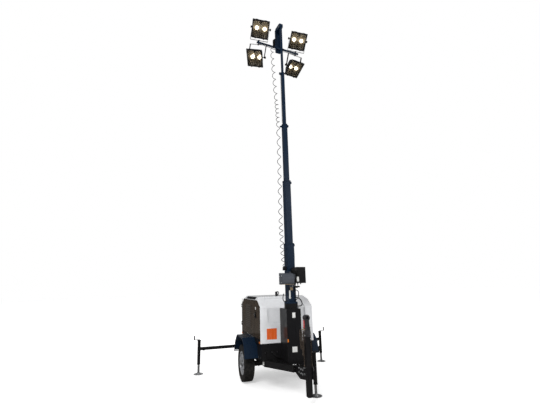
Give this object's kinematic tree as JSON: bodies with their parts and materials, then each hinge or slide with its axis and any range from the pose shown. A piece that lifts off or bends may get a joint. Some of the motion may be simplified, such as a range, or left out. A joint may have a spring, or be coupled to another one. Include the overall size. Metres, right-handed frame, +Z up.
{
  "type": "towable light tower with a vertical mast",
  "caption": "Towable light tower: box body with engine on an axle, telescopic mast with floodlights on a crossbar, outriggers with jacks and a drawbar that folds upright.",
  "frame": {"origin": "on the floor, under the middle of the machine's bounding box", "axes": "+Z up, drawbar end towards -Y, outriggers along X"},
  "size_m": [3.01, 2.712, 7.235],
  "materials": {
    "white_paint": "gloss",
    "black_paint": "satin",
    "navy_paint": "satin",
    "grey_paint": "satin",
    "bronze_door": "gloss",
    "zinc_steel": "brushed",
    "wheel_silver": "satin",
    "tyre_rubber": "matte",
    "lamp_housing": "satin",
    "lamp_glass": "clear",
    "cord_rubber": "matte",
    "marker_plastic": "gloss",
    "engine_iron": "rough"
  },
  "bodies": {
    "chassis": {"frame": "black_paint", "axle": "black_paint", "fender_left": "navy_paint", "fender_right": "navy_paint", "skirt": "black_paint", "hood_front": "white_paint", "hood_rear": "white_paint", "roof": "white_paint", "side_post_left": "bronze_door", "side_post_right": "bronze_door", "body_frame": "black_paint", "engine_and_generator": "engine_iron", "column": "black_paint", "turning_ring": "black_paint", "exhaust": "engine_iron", "marker_lamps": "marker_plastic", "outrigger_housing": "black_paint", "front_jack_tube": "black_paint"},
    "wheel_left": {"tyre_left": "tyre_rubber", "rim_left": "wheel_silver"},
    "wheel_right": {"tyre_right": "tyre_rubber", "rim_right": "wheel_silver"},
    "door_left": {"door_left": "bronze_door"},
    "door_right": {"door_right": "bronze_door"},
    "outrigger_left": {"outrigger_left": "black_paint"},
    "outrigger_right": {"outrigger_right": "black_paint"},
    "leg_left": {"outrigger_leg_left": "zinc_steel"},
    "leg_right": {"outrigger_leg_right": "zinc_steel"},
    "leg_front": {"front_jack_leg": "zinc_steel"},
    "drawbar": {"drawbar": "black_paint", "coupler": "black_paint", "safety_chains": "zinc_steel"},
    "mast_base": {"mast_section_1": "navy_paint", "winch": "grey_paint", "mast_box": "black_paint", "mast_cord": "cord_rubber"},
    "mast_2": {"mast_section_2": "navy_paint"},
    "mast_3": {"mast_section_3": "navy_paint"},
    "mast_4": {"mast_section_4": "navy_paint"},
    "mast_5": {"mast_section_5": "navy_paint", "mast_head": "navy_paint"},
    "yoke_upper_left": {"yoke_upper_left": "black_paint"},
    "lamp_upper_left": {"lamp_upper_left": "lamp_housing", "glass_upper_left": "lamp_glass"},
    "yoke_lower_left": {"yoke_lower_left": "black_paint"},
    "lamp_lower_left": {"lamp_lower_left": "lamp_housing", "glass_lower_left": "lamp_glass"},
    "yoke_upper_right": {"yoke_upper_right": "black_paint"},
    "lamp_upper_right": {"lamp_upper_right": "lamp_housing", "glass_upper_right": "lamp_glass"},
    "yoke_lower_right": {"yoke_lower_right": "black_paint"},
    "lamp_lower_right": {"lamp_lower_right": "lamp_housing", "glass_lower_right": "lamp_glass"}
  },
  "joints": [
    {"name": "wheel_left_spin", "type": "hinge", "parent": "chassis", "child": "wheel_left", "pos_m": [-0.598, 0.307, 0.324], "axis": [1, 0, 0], "continuous": true},
    {"name": "wheel_right_spin", "type": "hinge", "parent": "chassis", "child": "wheel_right", "pos_m": [0.598, 0.307, 0.324], "axis": [1, 0, 0], "continuous": true},
    {"name": "door_left_open", "type": "hinge", "parent": "chassis", "child": "door_left", "pos_m": [-0.508, 1.097, 1.1], "axis": [0, 0, -1], "range_deg": [0, 110]},
    {"name": "door_right_open", "type": "hinge", "parent": "chassis", "child": "door_right", "pos_m": [0.508, 1.097, 1.1], "axis": [0, 0, 1], "range_deg": [0, 110]},
    {"name": "outrigger_left_slide", "type": "slide", "parent": "chassis", "child": "outrigger_left", "axis": [-1, 0, 0], "range_m": [-0.77, 0]},
    {"name": "outrigger_right_slide", "type": "slide", "parent": "chassis", "child": "outrigger_right", "axis": [1, 0, 0], "range_m": [-0.77, 0]},
    {"name": "leg_left_lift", "type": "slide", "parent": "outrigger_left", "child": "leg_left", "axis": [0, 0, 1], "range_m": [0, 0.145]},
    {"name": "leg_right_lift", "type": "slide", "parent": "outrigger_right", "child": "leg_right", "axis": [0, 0, 1], "range_m": [0, 0.145]},
    {"name": "leg_front_lift", "type": "slide", "parent": "chassis", "child": "leg_front", "axis": [0, 0, 1], "range_m": [0, 0.13]},
    {"name": "drawbar_fold", "type": "hinge", "parent": "chassis", "child": "drawbar", "pos_m": [0, -1.294, 0.425], "axis": [1, 0, 0], "range_deg": [0, 90]},
    {"name": "mast_turn", "type": "hinge", "parent": "chassis", "child": "mast_base", "pos_m": [0, -0.641, 1.42], "axis": [0, 0, 1], "range_deg": [-8, 342]},
    {"name": "mast_2_slide", "type": "slide", "parent": "mast_base", "child": "mast_2", "axis": [0, 0, 1], "range_m": [-1.095, 0], "deforming": ["mast_cord"]},
    {"name": "mast_3_slide", "type": "slide", "parent": "mast_2", "child": "mast_3", "axis": [0, 0, 1], "range_m": [-1.095, 0]},
    {"name": "mast_4_slide", "type": "slide", "parent": "mast_3", "child": "mast_4", "axis": [0, 0, 1], "range_m": [-1.095, 0]},
    {"name": "mast_5_slide", "type": "slide", "parent": "mast_4", "child": "mast_5", "axis": [0, 0, 1], "range_m": [-1.095, 0]},
    {"name": "yoke_upper_left_turn", "type": "hinge", "parent": "mast_5", "child": "yoke_upper_left", "pos_m": [-0.45942, -0.67733, 6.98757], "axis": [0.0645, -0.4588, 0.8862], "range_deg": [-36.4, 83.6]},
    {"name": "lamp_upper_left_tilt", "type": "hinge", "parent": "yoke_upper_left", "child": "lamp_upper_left", "pos_m": [-0.45942, -0.67733, 6.98757], "axis": [0.9568, -0.2238, -0.1855], "range_deg": [-30.7, 50]},
    {"name": "yoke_lower_left_turn", "type": "hinge", "parent": "mast_5", "child": "yoke_lower_left", "pos_m": [-0.49617, -0.41582, 6.48243], "axis": [0.0645, -0.4588, 0.8862], "range_deg": [-15.9, 104.1]},
    {"name": "lamp_lower_left_tilt", "type": "hinge", "parent": "yoke_lower_left", "child": "lamp_lower_left", "pos_m": [-0.49617, -0.41582, 6.48243], "axis": [0.797, -0.5108, -0.3224], "range_deg": [-33.8, 50]},
    {"name": "yoke_upper_right_turn", "type": "hinge", "parent": "mast_5", "child": "yoke_upper_right", "pos_m": [0.42192, -0.55347, 6.98757], "axis": [0.0645, -0.4588, 0.8862], "range_deg": [-40.5, 79.5]},
    {"name": "lamp_upper_right_tilt", "type": "hinge", "parent": "yoke_upper_right", "child": "lamp_upper_right", "pos_m": [0.42192, -0.55347, 6.98757], "axis": [0.9746, -0.1618, -0.1547], "range_deg": [-29.9, 50]},
    {"name": "yoke_lower_right_turn", "type": "hinge", "parent": "mast_5", "child": "yoke_lower_right", "pos_m": [0.38517, -0.29196, 6.48243], "axis": [0.0645, -0.4588, 0.8862], "range_deg": [-71.7, 48.3]},
    {"name": "lamp_lower_right_tilt", "type": "hinge", "parent": "yoke_lower_right", "child": "lamp_lower_right", "pos_m": [0.38517, -0.29196, 6.48243], "axis": [0.9447, 0.3142, 0.094], "range_deg": [-32.6, 50]}
  ],
  "couplings": [
    {"joint": "mast_3_slide", "follows": "mast_2_slide", "ratio": 1},
    {"joint": "mast_4_slide", "follows": "mast_2_slide", "ratio": 1},
    {"joint": "mast_5_slide", "follows": "mast_2_slide", "ratio": 1}
  ]
}
